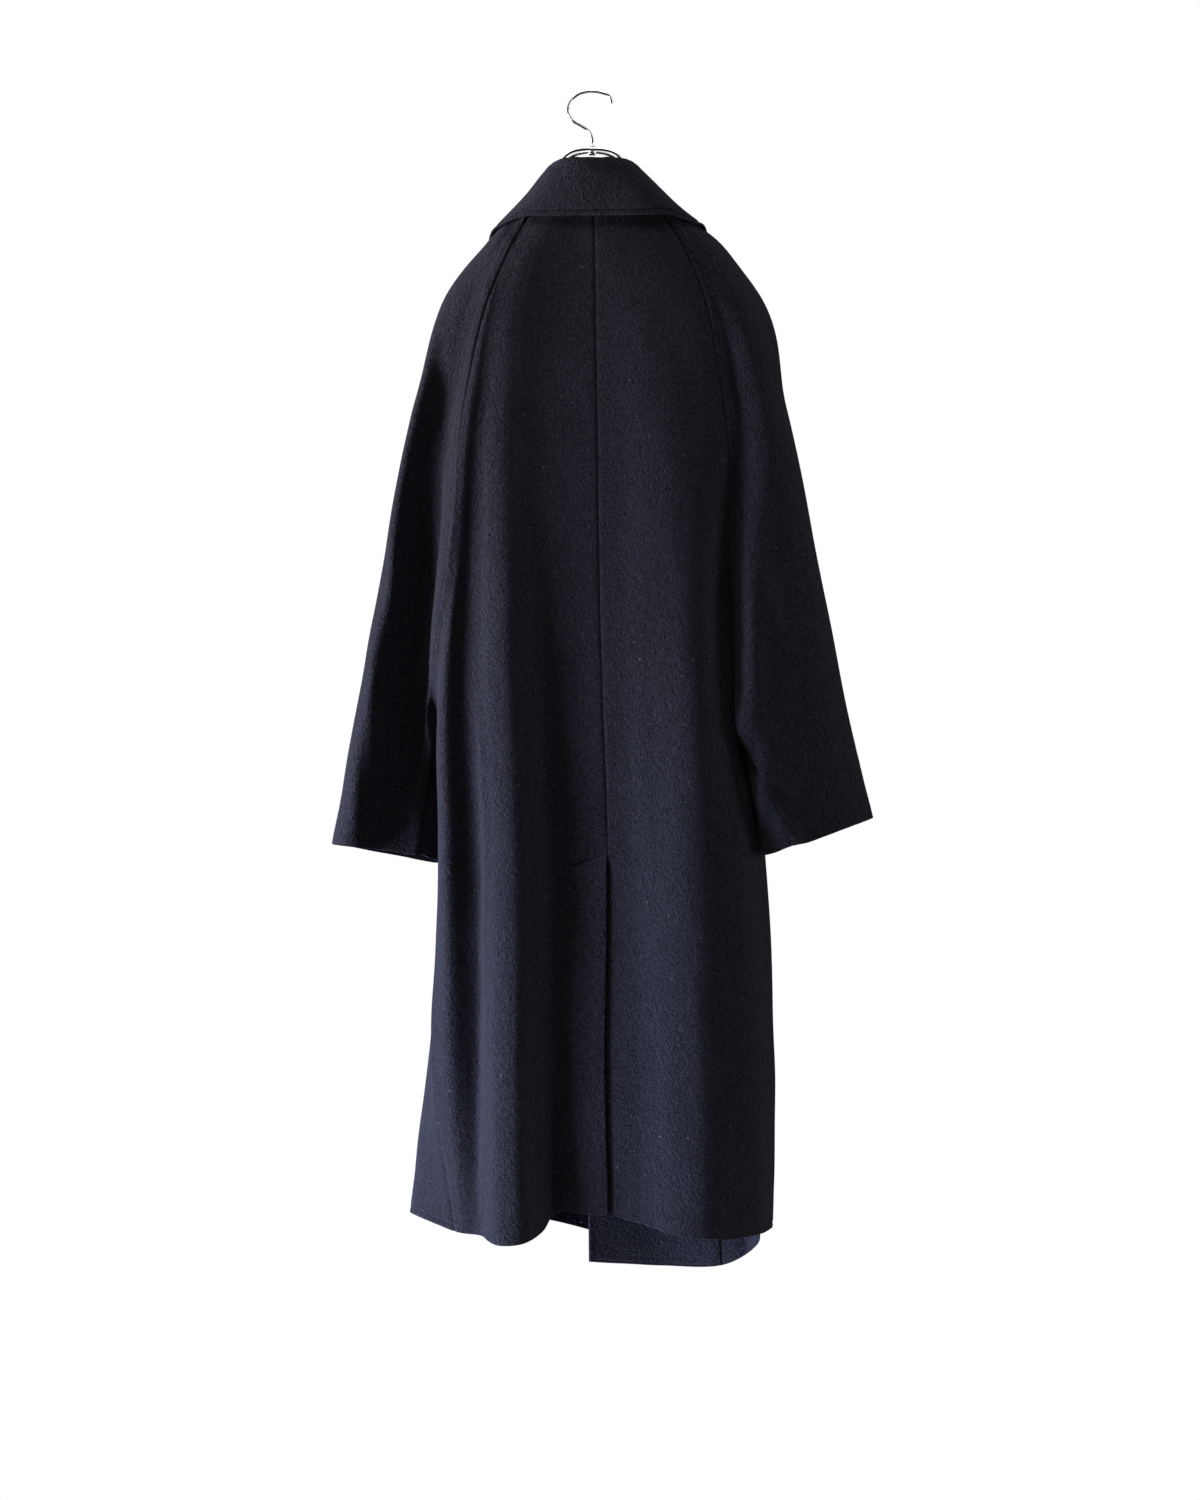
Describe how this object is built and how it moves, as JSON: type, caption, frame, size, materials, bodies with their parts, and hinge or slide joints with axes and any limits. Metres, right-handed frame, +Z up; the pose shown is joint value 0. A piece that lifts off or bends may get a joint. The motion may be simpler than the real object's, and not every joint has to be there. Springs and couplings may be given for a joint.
{
  "type": "wrap coat on a hanger",
  "caption": "Knee-length wrap coat of heavy felted wool with raglan sleeves, turn-down collar and back vent, hanging on a double-wire hanger by its hook.",
  "frame": {"origin": "inside top of the hanger's hook, where it rests on a rail", "axes": "+Z up, the coat faces -Y, its wearer's left side is +X"},
  "size_m": [0.583, 0.2323, 1.2953],
  "materials": {
    "wool": "matt felted nap",
    "chrome": "polished"
  },
  "bodies": {
    "root": {"back_left": "wool", "back_right": "wool", "vent_underlap": "wool", "front_left": "wool", "front_right": "wool", "front_right_facing": "wool", "sleeve_left": "wool", "sleeve_right": "wool", "collar": "wool", "hanger_hook": "chrome", "hanger_ferrule": "chrome", "hanger_arms": "chrome"}
  },
  "joints": []
}
